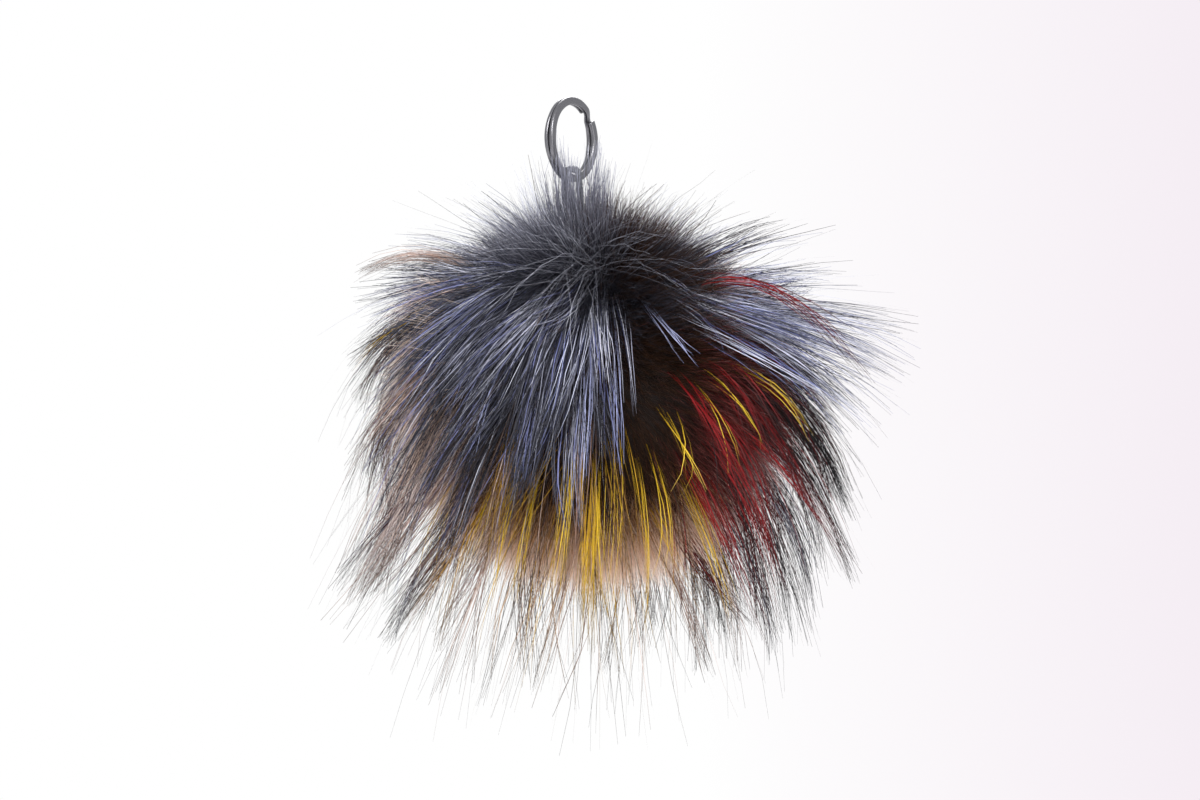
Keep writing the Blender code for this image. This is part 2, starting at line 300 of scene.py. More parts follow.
# Where each dye was put on, for the guard hairs and for the down under them: the dye and the places.
GUARD_DYES = (
    ("slate", (
        (-0.08, -0.5, 0.86), (-0.42, -0.25, 0.87), (-0.35, -0.55, 0.75), (-0.55, -0.1, 0.8),
        (-0.5, -0.65, 0.5), (-0.05, -0.8, 0.55), (-0.3, -0.85, 0.35),
    )),
    ("umber", ((-0.52, -0.74, 0.43),)),
    ("slate", ((-0.62, -0.73, 0.2),)),
    ("dusk", ((0.5, -0.55, 0.65),)),
    ("slate", ((0.38, -0.4, 0.84),)),
    ("dusk", ((0.6, -0.3, 0.7), (0.5, -0.1, 0.85), (0.85, 0, 0.5))),
    ("smoke", ((-0.1, 0.1, 1), (-0.35, 0.05, 0.93), (0, 0.45, 0.9))),
    ("umber", ((0.25, 0.05, 0.97), (0.35, -0.2, 0.9))),
    ("blond", ((-0.88, -0.3, 0.38), (-0.95, -0.3, 0))),
    ("umber", ((-0.9, 0.42, 0.15),)),
    ("blond", ((-0.75, -0.55, -0.3), (-0.6, -0.3, -0.7), (-0.5, -0.85, -0.1))),
    ("mustard", ((-0.3, -0.85, -0.35), (0, -0.9, -0.3), (0.3, -0.88, -0.35))),
    ("straw", ((-0.1, -0.65, -0.75), (0.2, -0.62, -0.75))),
    ("blond", ((0, -0.3, -0.95), (0.35, -0.4, -0.85))),
    ("crimson", ((0.6, -0.72, -0.25), (0.8, -0.5, 0.05), (0.6, -0.5, -0.55))),
    ("jet", ((0.95, -0.2, -0.1), (0.8, -0.1, -0.5))),
    ("slate", ((-0.4, 0.7, 0.5),)),
    ("dusk", ((0.4, 0.7, 0.5),)),
    ("umber", ((0, 0.95, 0.1),)),
    ("blond", ((-0.7, 0.7, -0.1),)),
    ("crimson", ((0.7, 0.7, -0.1),)),
    ("mustard", ((0, 0.75, -0.6),)),
)
DOWN_DYES = (
    ("slate_down", (
        (-0.1, -0.65, 0.75), (-0.5, -0.45, 0.72), (-0.2, -0.85, 0.4), (-0.6, -0.68, 0.4),
        (-0.45, -0.85, 0.1),
    )),
    ("cocoa_down", ((-0.15, -0.97, 0.05), (0.6, -0.4, 0.65))),
    ("slate_down", ((0.45, -0.3, 0.82), (0.42, -0.7, 0.58))),
    ("smoke_down", (
        (-0.1, -0.3, 0.93), (-0.35, -0.15, 0.9), (-0.1, 0.1, 0.98), (-0.5, 0.1, 0.85),
        (0, 0.5, 0.85),
    )),
    # dark-brown down in the hollow and below it: its dark tips are partly painted shade
    ("cocoa_down", (
        (0.3, 0, 0.95), (0.3, -0.5, 0.8), (0.5, -0.75, 0.35), (0.35, -0.93, 0.1),
        (0.15, -0.98, -0.15), (0.3, -0.84, -0.48), (-0.05, -0.87, -0.5), (-0.4, -0.79, -0.48),
    )),
    ("caramel_down", ((-0.3, -0.62, -0.73), (0.05, -0.66, -0.75), (0.35, -0.6, -0.73))),
    ("slate_down", ((-0.8, -0.5, 0.33),)),
    # pink-blond down at the left and lower rims, lightened as painted backlight through the thin hairs
    ("blush_down", (
        (-0.93, -0.2, 0.32), (-0.95, -0.2, 0.2), (-0.85, -0.5, -0.1), (-0.65, -0.6, -0.45),
        (-0.3, -0.42, -0.88), (0.1, -0.44, -0.9), (0.4, -0.38, -0.86), (-0.85, 0.2, 0.45),
    )),
    ("claret_down", ((0.7, -0.7, -0.1), (0.6, -0.65, -0.45), (0.8, -0.55, 0.2))),
    ("rose_down", ((0.85, -0.3, 0.45), (0.92, 0, 0.35))),
    ("claret_down", ((0.95, -0.25, -0.05),)),
    ("rose_down", ((0.8, -0.2, -0.55),)),
    ("slate_down", ((-0.4, 0.8, 0.4),)),
    ("cocoa_down", ((0.4, 0.8, 0.4), (0, 0.95, -0.2))),
    ("blush_down", ((-0.6, 0.7, -0.3),)),
    ("claret_down", ((0.6, 0.7, -0.3),)),
    ("blush_down", ((0, 0.5, -0.85),)),
)
DYE_EDGE = 22.0
DYE_RAGGED = 0.65

# Round places in the hollow that long hairs don't cross past their roots, and others among the red locks
# that dusk ones don't: the place and the radius. The locks that stand out may cross them.
CLEARED = (
    ((0.52, -0.82, 0.12), 7 * MM),
    ((0.3, -0.8, 0.52), 8 * MM),
    ((0.32, -0.9, 0.3), 11 * MM),
    ((0.33, -0.94, 0.06), 13 * MM),
    ((0.33, -0.93, -0.18), 12 * MM),
)
REDS = (
    ((0.62, -0.78, 0), 8 * MM),
    ((0.75, -0.65, -0.1), 7 * MM),
    ((0.86, -0.5, -0.15), 6 * MM),
)
PAST_ROOT = 3

# Locks that stand out one by one: place, middle and tip, as above, how many hairs, and their dye.
ACCENT_COLUMNS = ("place", "middle", "tip", "hairs", "dye")
ACCENTS = (
    # round the loop
    ((-0.22, -0.14, 1), (-12, -8, 50), (-14, -10, 64), 16, "smoke_down"),
    ((-0.15, -0.14, 1), (-8, -9, 50), (-9, -10, 70), 40, "smoke_down"),
    ((-0.09, -0.16, 1), (-5, -9, 48), (-5, -10, 66), 46, "smoke_down"),
    ((-0.03, -0.14, 1), (-1, -9, 50), (0, -10, 70), 40, "smoke_down"),
    ((0.06, -0.14, 1), (3, -8, 50), (5, -10, 64), 16, "smoke_down"),
    ((-0.12, 0.16, 1), (-6, 9, 50), (-7, 10, 67), 50, "smoke_down"),
    ((0.04, 0.17, 1), (2, 9, 50), (3, 10, 65), 50, "smoke_down"),
    # single locks above
    ((0.7, -0.3, 0.65), (50, -25, 28), (79, -27, -1), 12, "crimson"),
    ((0.62, -0.3, 0.7), (46, -24, 31), (74, -20, 14), 6, "crimson"),
    ((0.36, -0.56, 0.75), (21, -50, 16), (30, -57, 5), 9, "sky"),
    ((-0.7, 0, 0.7), (-46, -10, 38), (-68, -14, 33), 45, "blond"),
    ((-0.8, -0.2, 0.5), (-52, -14, 19), (-68, -14, 5), 8, "mustard"),
    # blue and grey locks of the flap
    ((0.1, -0.5, 0.86), (6, -51, 8), (7, -62, -22), 9, "sky"),
    ((0.14, -0.46, 0.87), (9, -50, 13), (11, -60, -10), 8, "slate"),
    ((-0.02, -0.55, 0.83), (-1, -52, 5), (-2, -61, -28), 14, "sky"),
    ((-0.2, -0.6, 0.77), (-14, -50, 3), (-19, -58, -28), 12, "sky"),
    ((-0.4, -0.6, 0.69), (-27, -46, 2), (-36, -50, -28), 14, "sky"),
    # yellow locks across the front, from left to right
    ((-0.72, -0.55, -0.3), (-42, -32, -33), (-48, -32, -54), 10, "gold"),
    ((-0.5, -0.75, -0.3), (-29, -43, -34), (-37, -38, -56), 13, "gold"),
    ((-0.4, -0.8, -0.3), (-24, -46, -35), (-29, -40, -61), 10, "gold"),
    ((-0.28, -0.85, -0.3), (-17, -48, -36), (-21, -42, -60), 13, "gold"),
    ((-0.12, -0.92, -0.25), (-7, -53, -30), (-10, -48, -58), 14, "gold"),
    ((0.02, -0.92, -0.28), (1, -52, -34), (0, -46, -66), 10, "gold"),
    ((0.1, -0.95, -0.15), (6, -54, -30), (2, -48, -69), 8, "gold"),
    ((0.17, -0.98, 0), (10, -56, -19), (14, -57, -39), 3, "gold"),
    ((0.25, -0.9, -0.25), (15, -50, -33), (14, -46, -66), 9, "gold"),
    ((0.33, -0.9, -0.22), (20, -51, -31), (18, -51, -52), 6, "gold"),
    ((0.38, -0.92, 0.05), (25, -54, -16), (31, -57, -30), 4, "gold"),
    ((0.45, -0.88, 0), (27, -53, -18), (25, -56, -33), 3, "gold"),
    ((0.52, -0.75, -0.35), (31, -44, -40), (39, -42, -66), 13, "gold"),
    ((0.58, -0.8, 0.15), (36, -48, -8), (42, -50, -22), 3, "gold"),
    ((0.65, -0.7, 0.2), (41, -45, -3), (49, -45, -18), 3, "gold"),
    ((0.8, -0.5, 0.3), (51, -35, 0), (63, -36, -16), 7, "gold"),
    # red locks, and the black ones past them
    ((0.45, -0.85, 0.2), (29, -53, -5), (37, -54, -28), 8, "crimson"),
    ((0.55, -0.8, 0.1), (35, -49, -11), (45, -49, -36), 12, "crimson"),
    ((0.7, -0.68, 0.05), (43, -42, -15), (54, -41, -42), 12, "crimson"),
    ((0.83, -0.5, 0.1), (51, -33, -13), (63, -33, -38), 12, "crimson"),
    ((0.52, -0.78, -0.25), (31, -45, -32), (37, -42, -56), 9, "crimson"),
    ((0.68, -0.55, -0.35), (40, -34, -43), (46, -32, -66), 9, "crimson"),
    ((0.93, -0.3, 0.05), (59, -20, -12), (69, -20, -33), 10, "crimson"),
    ((0.92, -0.2, -0.34), (57, -16, -22), (67, -12, -53), 22, "jet"),
    ((0.82, -0.2, -0.54), (54, -16, -36), (64, -12, -66), 22, "jet"),
    ((0.96, -0.2, -0.15), (60, -14, -10), (72, -12, -36), 18, "jet"),
    ((0.66, -0.2, -0.72), (46, -14, -50), (54, -10, -78), 20, "jet"),
    ((-0.75, -0.5, -0.4), (-52, -30, -32), (-74, -28, -54), 24, "jet"),
    ((-0.6, -0.4, -0.7), (-44, -24, -46), (-58, -20, -74), 24, "jet"),
)

# All hair: places tried for each, the box it stays in, its taper and wave, and its layout for the bake
CANDIDATES = 10
FUR_LOW = np.array((-90, -86, -197)) * MM
FUR_HIGH = np.array((102, 90, 0)) * MM
TAPER_STOPS = (0, 0.15, 0.6, 1.0)
TAPER_WIDTHS = (0.6, 0.8, 1.0, 0.35)
WIDTH_RANGE = (0.75, 1.3)
WAVE_TURNS = (0.6, 1.6)
BAKE_COLUMN = np.array((-0.3, 0.3))
BAKE_MARGIN = 0.01
ALMOST_ONE = 0.9999

# Guard hairs. Holds are how far a lock is drawn to its tuft, and a hair to its lock, at each height.
TUFTS = 320
TUFT_REACH = (0.74, 1.04)
TUFT_BEND = 4.5 * MM
TUFT_WAVE = 1.2 * MM
HEIGHTS = (0.0, 0.6, 0.95)
TUFT_HOLDS = (0.95, 0.75, 0.55)
TUFT_HOLD_RANGE = (0.75, 1.05)
TUFT_HOLD_POWER = 1.5
LOCKS = 1300
HAIRS_A_LOCK = 11
HAIRS_RANGE = (3, 40)
LOCK_ROOT = 2.8 * MM
LOCK_REACH = (0.85, 1.08)
LOCK_HOLDS = (1.0, 0.7, 0.3)
LOCK_HOLD_MOST = 1.1
LOCK_HOLD_LOST = 0.7
LOCK_HOLD_POWER = 1.3
LOCK_BEND = 2.4 * MM
ACCENT_HOLD = 0.8
ACCENT_BEND = 0.3
ACCENT_PALE = 0.78
PALE_BY_TUFT = 0.4
PALE_BY_LOCK = 1.1
PALE_BY_HAIR = 0.5
PALE_LESS = 0.30
HAIR_REACH = 1.15
HAIR_SHORTER = 0.66
HAIR_SHORTER_POWER = 0.8
HAIR_BEND = 1.4 * MM
HAIR_BEND_POWER = 1.5
HAIR_WAVE = 0.6 * MM
KINK = 0.22 * MM
GUARD_WIDTH = 0.22 * MM
GUARD_STEPS = 7
GUARD_SECTORS = (-2 * math.pi / 3, -math.pi / 3, math.pi / 6, 5 * math.pi / 6)
GUARD_NAMES = ("guard_left", "guard_front", "guard_right", "guard_back", "guard_back_left")

# Down
DOWN_HAIRS = 140000
DOWN_WIDTH = 0.11 * MM
DOWN_STEPS = 2
DOWN_UPRIGHT = 0.6
DOWN_REACH = (0.84, 1.06)
DOWN_ARCH = 1.5 * MM
DOWN_BEND = 2.2 * MM
DOWN_SECTORS = (-math.pi / 2, 0, math.pi / 2)
DOWN_NAMES = ("down_front_left", "down_front_right", "down_back_right", "down_back_left")

# Wisps
WISP_HAIRS = 800
WISP_STEPS = 8
WISP_WIDTH = 0.12 * MM
WISP_REACH = (0.85, 1.15)
WISP_BEND = 5.0 * MM
WISP_WAVE = 1.4 * MM
WISP_DARKER = 1.5

# Whorl: where its hairs start, and the cone of places whose combing they follow
WHORL = np.array((-0.02, -0.76, 0.65))
WHORL_OUT = 51 * MM
WHORL_ROUND = 5 * MM
WHORL_TOWARDS = np.array((0.0, -0.45, 0.9))
WHORL_CONE = 0.62
WHORL_HAIRS = 130
WHORL_SPARE = 6
WHORL_REACH = (0.35, 1.0)
WHORL_POWER = 1.5
WHORL_KINK = 0.45 * MM
WHORL_BEND = 3.0 * MM
WHORL_PALE = (0.3, 1.0)
WHORL_WIDTH = 0.065 * MM

# Studio, in metres and watts. The backdrop is (position, colour) stops from left to right.
SKY_COLOUR = (0.95, 0.96, 1.0, 1)
SKY_STRENGTH = 0.75
BACKDROP_FROM = 0.03
BACKDROP = ((0, (1, 1, 1)), (0.18, (0.90, 0.83, 0.89)), (0.4, (0.97, 0.96, 0.97)))
FLOOR_HALF, FLOOR_LEVEL = 2.1, -0.55
FLOOR_COLOUR = (0.92, 0.91, 0.92, 1)
FLOOR_GLOW = 0.25
LIGHT_COLUMNS = ("name", "place", "size", "power")
LIGHTS = (
    ("key", (-0.25, -0.83, 0.55), 0.5, 10.6),
    ("fill", (0.8, -0.6, 0.1), 0.7, 2.5),
    ("rim", (0.1, 0.8, 0.5), 0.6, 6.0),
)

# Camera: the photograph's level view
PHOTO_WIDTH, PHOTO_HEIGHT = 1200, 800
RING_TOP_PIXEL = (571.5, 97)
RING_PIXELS = 85
PIXEL = RING_OUTER / RING_PIXELS
CAMERA_DISTANCE = 0.95
SENSOR = 36.0


def link_object(name, data):
    made = bpy.data.objects.new(name, data)
    bpy.context.collection.objects.link(made)
    return made


def unit(vectors):
    return vectors / np.maximum(np.linalg.norm(vectors, axis=-1, keepdims=True), 1e-12)


def smooth_step(share):
    share = min(max(share, 0.0), 1.0)
    return share * share * (3 - 2 * share)


# ---------------- how the fur grows


def foot_direction():
    """The way from the ball's middle to the point under the ring where the loop meets the pelt."""
    across = FOOT_ACROSS - BALL_CENTRE[0]
    return Vector((across, 0, math.sqrt(BALL_RADIUS**2 - across**2))).normalized()


def combed_at(directions):
    """What the table says at each place: ways from root to middle and tip, thickness, the down's reach."""
    table = [dict(zip(COMB_COLUMNS, row)) for row in COMBED]
    places = unit(np.array([row["place"] for row in table]))
    roots = places * BALL_RADIUS
    middles = np.array([row["middle"] for row in table]) * MM - roots
    tips = np.array([row["tip"] for row in table]) * MM - roots
    thick = np.array([row["thick"] for row in table])
    down = np.array([row["down"] for row in table]) * MM
    nearness = directions @ places.T
    nearness -= nearness.max(axis=1, keepdims=True)
    near = np.exp(COMB_BLEND * nearness)
    near /= near.sum(axis=1, keepdims=True)
    nearest = np.exp(THICK_BLEND * nearness)
    nearest /= nearest.sum(axis=1, keepdims=True)
    return near @ middles, near @ tips, nearest @ thick, near @ down


def spread_directions(rng, count, thick=False):
    """Random places on the ball, even or as thick as the guard hairs stand there."""
    directions = unit(rng.normal(size=(count * CANDIDATES, 3)))
    if thick:
        kept = rng.random(len(directions)) < combed_at(directions)[2]
        directions = directions[kept]
    return directions[:count]


def around(rng, directions, radius):
    """A place near each direction, at random within a radius on the ball."""
    sideways = unit(np.cross(directions, rng.normal(size=directions.shape)))
    reach = np.sqrt(rng.random(len(directions))) * radius / BALL_RADIUS
    return unit(directions + sideways * reach[:, None])


def paths_of(directions, middles, tips, reach, shares):
    """The line of each hair: from its root through its middle towards its tip, as far as it reaches."""
    along = (reach[:, None] * shares[None])[..., None]
    first = (4 * middles - tips)[:, None]
    second = (2 * tips - 4 * middles)[:, None]
    roots = (BALL_CENTRE + directions * BALL_RADIUS)[:, None]
    return roots + first * along + second * along**2


def bend(rng, count, shares, size, power=2.0):
    """A bend in each hair, at random, that grows from nothing at its root."""
    return rng.normal(scale=size, size=(count, 1, 3)) * (shares**power)[None, :, None]


def wave(rng, directions, shares, size):
    """A slight wave in each hair, growing from nothing at its root."""
    sideways = unit(np.cross(directions, rng.normal(size=directions.shape)))
    turns = rng.uniform(*WAVE_TURNS, (len(directions), 1))
    start = rng.uniform(0, 2 * math.pi, (len(directions), 1))
    swing = (np.sin(turns * 2 * math.pi * shares[None] + start) - np.sin(start)) * shares[None]
    return sideways[:, None] * (swing * size)[:, :, None]


# ---------------- dyes


def dyes_of(rng, directions, dyes):
    """The name of each place's dye: the nearest one, with a ragged edge between neighbours."""
    places = unit(np.array([place for _, group in dyes for place in group]))
    names = np.array([name for name, group in dyes for _ in group])
    ragged = rng.gumbel(size=(len(directions), len(places))) * DYE_RAGGED
    score = DYE_EDGE * (directions @ places.T) + ragged
    return names[score.argmax(axis=1)]


def tint_list():
    """Every tint of every dye, as (dye, share, colours at the stops), in one order."""
    made = []
    for dye, rows in TINTS.items():
        for row in rows:
            tint = dict(zip(TINT_COLUMNS, row))
            made.append((dye, tint["share"], (tint["root"], tint["low"], tint["high"], tint["tip"])))
    return made


def tints_for(names, paleness):
    """The number of each hair's tint, from its dye and from how pale it is, from 0 to 1."""
    tints = tint_list()
    chosen = np.zeros(len(names), int)
    for dye in TINTS:
        numbers = [number for number, tint in enumerate(tints) if tint[0] == dye]
        limits = np.cumsum([tints[number][1] for number in numbers])
        mine = names == dye
        place = np.searchsorted(limits, paleness[mine] * limits[-1] * ALMOST_ONE)
        chosen[mine] = np.array(numbers)[place]
    return chosen


def tint_colours(chosen, shares):
    """The colour of each hair at each share of its length."""
    stops = np.array([tint[2] for tint in tint_list()]) * TINT_UNIT
    table = [[np.interp(shares, TINT_STOPS, channel) for channel in stop.T] for stop in stops]
    return np.array(table).transpose(0, 2, 1)[chosen]


# ---------------- hair meshes


def ribbon_mesh(name, paths, edges):
    """One ribbon a hair, with an edge on each side of its path. Also gives the corners of its faces."""
    hairs, points = paths.shape[:2]
    corners = np.stack((paths - edges, paths + edges), axis=2)
    start = np.arange(hairs * points).reshape(hairs, points)[:, :-1].ravel() * 2
    faces = np.stack((start, start + 1, start + 3, start + 2), axis=1)
    mesh = bpy.data.meshes.new(name)
    mesh.vertices.add(hairs * points * 2)
    mesh.vertices.foreach_set("co", corners.astype(np.float32).ravel())
    mesh.loops.add(faces.size)
    mesh.loops.foreach_set("vertex_index", faces.astype(np.int32).ravel())
    mesh.polygons.add(len(faces))
    mesh.polygons.foreach_set("loop_start", np.arange(0, faces.size, 4, dtype=np.int32))
    mesh.update(calc_edges=True)
    mesh.shade_smooth()
    return mesh, faces


def tint_mesh(mesh, faces, chosen, shares):
    """Each hair's colours, and the layout that they are baked through: a column for each tint."""
    hairs, points = len(chosen), len(shares)
    colours = np.ones((hairs, points, 2, 4), np.float32)
    colours[..., :3] = tint_colours(chosen, shares)[:, :, None]
    tinted = mesh.color_attributes.new("Tint", "FLOAT_COLOR", "POINT")
    tinted.data.foreach_set("color", colours.ravel())
    spread = np.zeros((hairs, points, 2, 2), np.float32)
    spread[..., 0] = ((chosen[:, None] + 0.5 + BAKE_COLUMN) / len(tint_list()))[:, None]
    spread[..., 1] = (BAKE_MARGIN + (1 - 2 * BAKE_MARGIN) * shares)[None, :, None]
    layer = mesh.uv_layers.new(name="OFBake")
    layer.data.foreach_set("uv", spread.reshape(-1, 2)[faces.ravel()].ravel())


def add_hairs(name, rng, paths, width, chosen, finish):
    """Makes one piece from many hairs: ribbons, finest at the tip, each turned its own way."""
    inside = ((paths > FUR_LOW) & (paths < FUR_HIGH)).all(axis=(1, 2))
    paths = paths[inside]
    chosen = chosen[inside]
    hairs, points = paths.shape[:2]
    shares = np.linspace(0, 1, points)
    facing = unit(rng.normal(size=(hairs, 1, 3)))
    sideways = unit(np.cross(unit(np.gradient(paths, axis=1)), facing))
    thick = width * np.interp(shares, TAPER_STOPS, TAPER_WIDTHS) / 2
    thick = thick[None, :, None] * rng.uniform(*WIDTH_RANGE, size=(hairs, 1, 1))
    mesh, faces = ribbon_mesh(name, paths, sideways * thick)
    tint_mesh(mesh, faces, chosen, shares)
    mesh.materials.append(finish)
    made = link_object(name, mesh)
    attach(made, "root")


def sectors_of(directions, limits):
    """Which sector round the ball each place lies in, seen from above."""
    return np.digitize(np.arctan2(directions[:, 1], directions[:, 0]), limits)


def crosses(paths, discs):
    """Which hairs pass over any of the round places, past their roots."""
    ways = unit(paths[:, PAST_ROOT:] - BALL_CENTRE)
    radii = np.linalg.norm(paths[:, PAST_ROOT:] - BALL_CENTRE, axis=2)
    crossing = np.zeros(len(paths), bool)
    for place, radius in discs:
        angle = np.arccos(np.clip(ways @ unit(np.array(place)), -1, 1))
        crossing |= (angle * radii < radius).any(axis=1)
    return crossing


def lay_tufts(rng, shares):
    """The tufts that locks gather in: the place, line, reach and paleness of each."""
    places = spread_directions(rng, TUFTS)
    middles, tips, _, _ = combed_at(places)
    reach = rng.uniform(*TUFT_REACH, TUFTS)
    lines = paths_of(places, middles, tips, reach, shares)
    lines += bend(rng, TUFTS, shares, TUFT_BEND) + wave(rng, places, shares, TUFT_WAVE)
    return places, lines, reach, rng.random(TUFTS)


def accent_columns():
    """The places, middles, tips, hairs and dyes of the locks that stand out one by one."""
    rows = [dict(zip(ACCENT_COLUMNS, row)) for row in ACCENTS]
    places = unit(np.array([row["place"] for row in rows]))
    middles = np.array([row["middle"] for row in rows]) * MM - places * BALL_RADIUS
    tips = np.array([row["tip"] for row in rows]) * MM - places * BALL_RADIUS
    return places, middles, tips, [row["hairs"] for row in rows], [row["dye"] for row in rows]


def lay_locks(rng, shares):
    """Every lock, drawn towards its tuft, as named columns. Those that stand out come last."""
    tufts, tuft_lines, tuft_reach, tuft_pale = lay_tufts(rng, shares)
    places = spread_directions(rng, LOCKS, thick=True)
    middles, tips, _, _ = combed_at(places)
    dyes = dyes_of(rng, places, GUARD_DYES)
    hairs = np.clip(rng.exponential(HAIRS_A_LOCK, LOCKS), *HAIRS_RANGE).astype(int)
    columns = zip((places, middles, tips, hairs, dyes), accent_columns())
    places, middles, tips, hairs, dyes = (np.concatenate(pair) for pair in columns)
    count = len(places)
    accent = np.arange(count) >= LOCKS
    tuft = (places @ tufts.T).argmax(axis=1)
    reach = np.where(accent, 1.0, tuft_reach[tuft] * rng.uniform(*LOCK_REACH, count))
    lines = paths_of(places, middles, tips, reach, shares)
    hold = np.where(accent, 0, np.interp(places[:, 2], HEIGHTS, TUFT_HOLDS))
    hold *= rng.uniform(*TUFT_HOLD_RANGE, count)
    shift = (shares**TUFT_HOLD_POWER)[None, :, None] * hold[:, None, None] * (tuft_lines[tuft] - lines)
    shift += bend(rng, count, shares, LOCK_BEND) * np.where(accent, ACCENT_BEND, 1.0)[:, None, None]
    pale = PALE_BY_TUFT * tuft_pale[tuft] + (1 - PALE_BY_TUFT) * rng.random(count)
    pale = np.where(accent, ACCENT_PALE, pale)
    names = ("place", "middle", "tip", "hairs", "dye", "accent", "reach", "shift", "line", "pale")
    columns = (places, middles, tips, hairs, dyes, accent, reach, shift, lines + shift, pale)
    return dict(zip(names, columns))


def grow_guard_hairs(rng, finish):
    """Long hairs in loose locks, which gather in tufts towards their tips, most of all low down."""
    shares = np.linspace(0, 1, GUARD_STEPS + 1)
    locks = lay_locks(rng, shares)
    lock = {name: np.repeat(column, locks["hairs"], axis=0) for name, column in locks.items()}
    accent = lock["accent"]
    count = len(accent)
    hairs = around(rng, lock["place"], LOCK_ROOT)
    middles, tips, _, _ = combed_at(hairs)
    middles = np.where(accent[:, None], lock["middle"], middles)
    tips = np.where(accent[:, None], lock["tip"], tips)
    reach = lock["reach"] * (HAIR_REACH - HAIR_SHORTER * rng.random(count) ** HAIR_SHORTER_POWER)
    paths = paths_of(hairs, middles, tips, reach, shares) + lock["shift"]
    hold = np.interp(hairs[:, 2], HEIGHTS, LOCK_HOLDS)
    hold *= LOCK_HOLD_MOST - LOCK_HOLD_LOST * rng.random(count) ** 2
    hold = np.where(accent, ACCENT_HOLD, hold)
    along = (shares**LOCK_HOLD_POWER)[None, :, None] * hold[:, None, None]
    paths = paths * (1 - along) + lock["line"] * along
    bends = bend(rng, count, shares, HAIR_BEND, HAIR_BEND_POWER)
    paths += bends + wave(rng, hairs, shares, HAIR_WAVE)
    paths += rng.normal(scale=KINK, size=paths.shape) * shares[None, :, None]
    paleness = lock["pale"] * PALE_BY_LOCK + rng.random(count) * PALE_BY_HAIR - PALE_LESS
    chosen = tints_for(lock["dye"], np.clip(paleness, 0, ALMOST_ONE))
    over_reds = (lock["dye"] == "dusk") & crosses(paths, REDS)
    kept = accent | ~(crosses(paths, CLEARED) | over_reds)
    sector = sectors_of(lock["place"], GUARD_SECTORS)
    for number, name in enumerate(GUARD_NAMES):
        mine = (sector == number) & kept
        add_hairs(name, rng, paths[mine], GUARD_WIDTH, chosen[mine], finish)


def grow_down(rng, finish):
    """The soft, short underfur: its hairs stand nearly upright, and lean a little as they are combed."""
    shares = np.linspace(0, 1, DOWN_STEPS + 1)
    directions = spread_directions(rng, DOWN_HAIRS)
    middles, _, _, down = combed_at(directions)
    leaning = middles + directions * BALL_RADIUS
    height = (down * rng.uniform(*DOWN_REACH, DOWN_HAIRS))[:, None]
    ends = unit(directions * DOWN_UPRIGHT + unit(leaning) * (1 - DOWN_UPRIGHT)) * height
    middles = (directions * BALL_RADIUS + ends) / 2 - directions * BALL_RADIUS
    middles += directions * DOWN_ARCH
    paths = paths_of(directions, middles, ends - directions * BALL_RADIUS, np.ones(DOWN_HAIRS), shares)
    paths += bend(rng, DOWN_HAIRS, shares, DOWN_BEND)
    names = dyes_of(rng, directions, DOWN_DYES)
    chosen = tints_for(names, rng.random(DOWN_HAIRS))
    quarters = sectors_of(directions, DOWN_SECTORS)
    for number, name in enumerate(DOWN_NAMES):
        mine = quarters == number
        add_hairs(name, rng, paths[mine], DOWN_WIDTH, chosen[mine], finish)


def grow_wisps(rng, finish):
    """Single hairs that stray past the rest."""
    shares = np.linspace(0, 1, WISP_STEPS + 1)
    directions = spread_directions(rng, WISP_HAIRS)
    middles, tips, _, _ = combed_at(directions)
    reach = rng.uniform(*WISP_REACH, WISP_HAIRS)
    paths = paths_of(directions, middles, tips, reach, shares)
    paths += bend(rng, WISP_HAIRS, shares, WISP_BEND) + wave(rng, directions, shares, WISP_WAVE)
    names = dyes_of(rng, directions, GUARD_DYES)
    chosen = tints_for(names, rng.random(WISP_HAIRS) ** WISP_DARKER)
    kept = ~crosses(paths, CLEARED)
    add_hairs("wisps", rng, paths[kept], WISP_WIDTH, chosen[kept], finish)


def grow_whorl(rng, finish):
    """Fine, kinked, pale hairs that lie on the down and run out of the whorl at the front of the crown."""
    shares = np.linspace(0, 1, WISP_STEPS + 1)
    candidates = spread_directions(rng, WHORL_HAIRS * WHORL_SPARE)
    roots = candidates[candidates @ unit(WHORL_TOWARDS) > 1 - WHORL_CONE][:WHORL_HAIRS]
    count = len(roots)
    middles, tips, _, _ = combed_at(roots)
    reach = rng.uniform(*WHORL_REACH, count)
    paths = paths_of(roots, middles, tips, reach, shares)
    starts = BALL_CENTRE + around(rng, np.tile(unit(WHORL), (count, 1)), WHORL_ROUND) * WHORL_OUT
    held = ((1 - shares) ** WHORL_POWER)[None, :, None]
    paths = paths * (1 - held) + starts[:, None] * held
    out = np.linalg.norm(paths - BALL_CENTRE, axis=2, keepdims=True)
    paths = BALL_CENTRE + (paths - BALL_CENTRE) * np.maximum(WHORL_OUT / out, 1)
    paths += rng.normal(scale=WHORL_KINK, size=paths.shape) + bend(rng, count, shares, WHORL_BEND)
    chosen = tints_for(np.full(count, "smoke"), rng.uniform(*WHORL_PALE, count) * ALMOST_ONE)
    kept = ~crosses(paths, CLEARED)
    add_hairs("whorl", rng, paths[kept], WHORL_WIDTH, chosen[kept], finish)


# ---------------- materials


def new_material(name):
    made = bpy.data.materials.new(name)
    made.use_nodes = True
    return made, made.node_tree.nodes, made.node_tree.links


def set_inputs(node, values):
    for name, value in values.items():
        node.inputs[name].default_value = value


def add_ramp(nodes, stops):
    """A ramp of colours, from its (position, colour) stops in order."""
    ramp = nodes.new("ShaderNodeValToRGB")
    elements = ramp.color_ramp.elements
    for number, (position, colour) in enumerate(stops):
        element = elements[number] if number < len(elements) else elements.new(position)
        element.position = position
        element.color = (*colour, 1)
    return ramp


